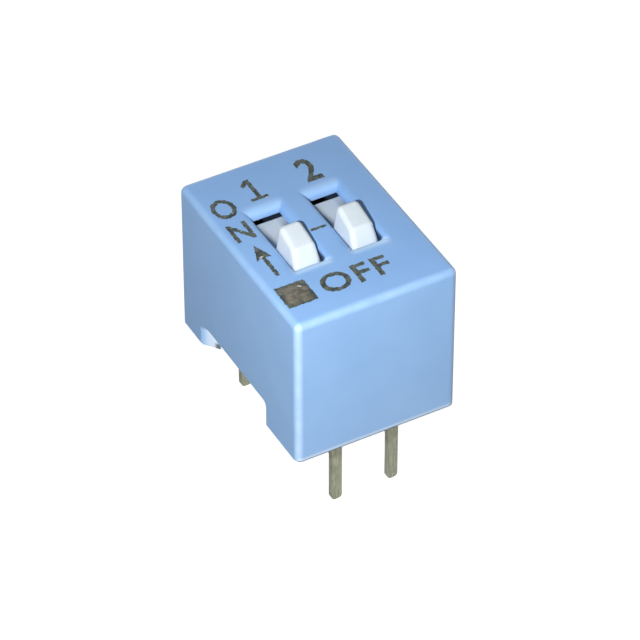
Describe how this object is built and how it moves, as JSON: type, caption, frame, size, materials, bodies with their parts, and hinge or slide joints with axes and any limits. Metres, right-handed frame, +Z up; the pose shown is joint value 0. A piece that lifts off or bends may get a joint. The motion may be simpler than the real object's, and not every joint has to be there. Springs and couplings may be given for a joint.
{
  "type": "dip switch",
  "caption": "Through-hole slide switch block for a circuit board, with raised sliding knobs in slots on top and flat solder pins below.",
  "frame": {"origin": "middle of the footprint, in the plane of the board that the case stands on", "axes": "+Z up out of the board, +Y the way a knob slides to ON, +X along the row from switch 1 to switch 2"},
  "size_m": [0.0072, 0.0098, 0.0115],
  "materials": {
    "cover_plastic": "satin",
    "base_plastic": "matte",
    "slider_plastic": "satin",
    "terminal_metal": "satin",
    "contact_metal": "satin"
  },
  "bodies": {
    "housing": {"cover": "cover_plastic", "base": "base_plastic", "terminal_1_front": "terminal_metal", "terminal_1_rear": "terminal_metal", "terminal_2_front": "terminal_metal", "terminal_2_rear": "terminal_metal"},
    "switch_1": {"slider_1": "slider_plastic", "contact_1": "contact_metal"},
    "switch_2": {"slider_2": "slider_plastic", "contact_2": "contact_metal"}
  },
  "joints": [
    {"name": "switch_1_slide", "type": "slide", "parent": "housing", "child": "switch_1", "axis": [0, 1, 0], "range_m": [0, 0.0018]},
    {"name": "switch_2_slide", "type": "slide", "parent": "housing", "child": "switch_2", "axis": [0, 1, 0], "range_m": [0, 0.0018]}
  ]
}
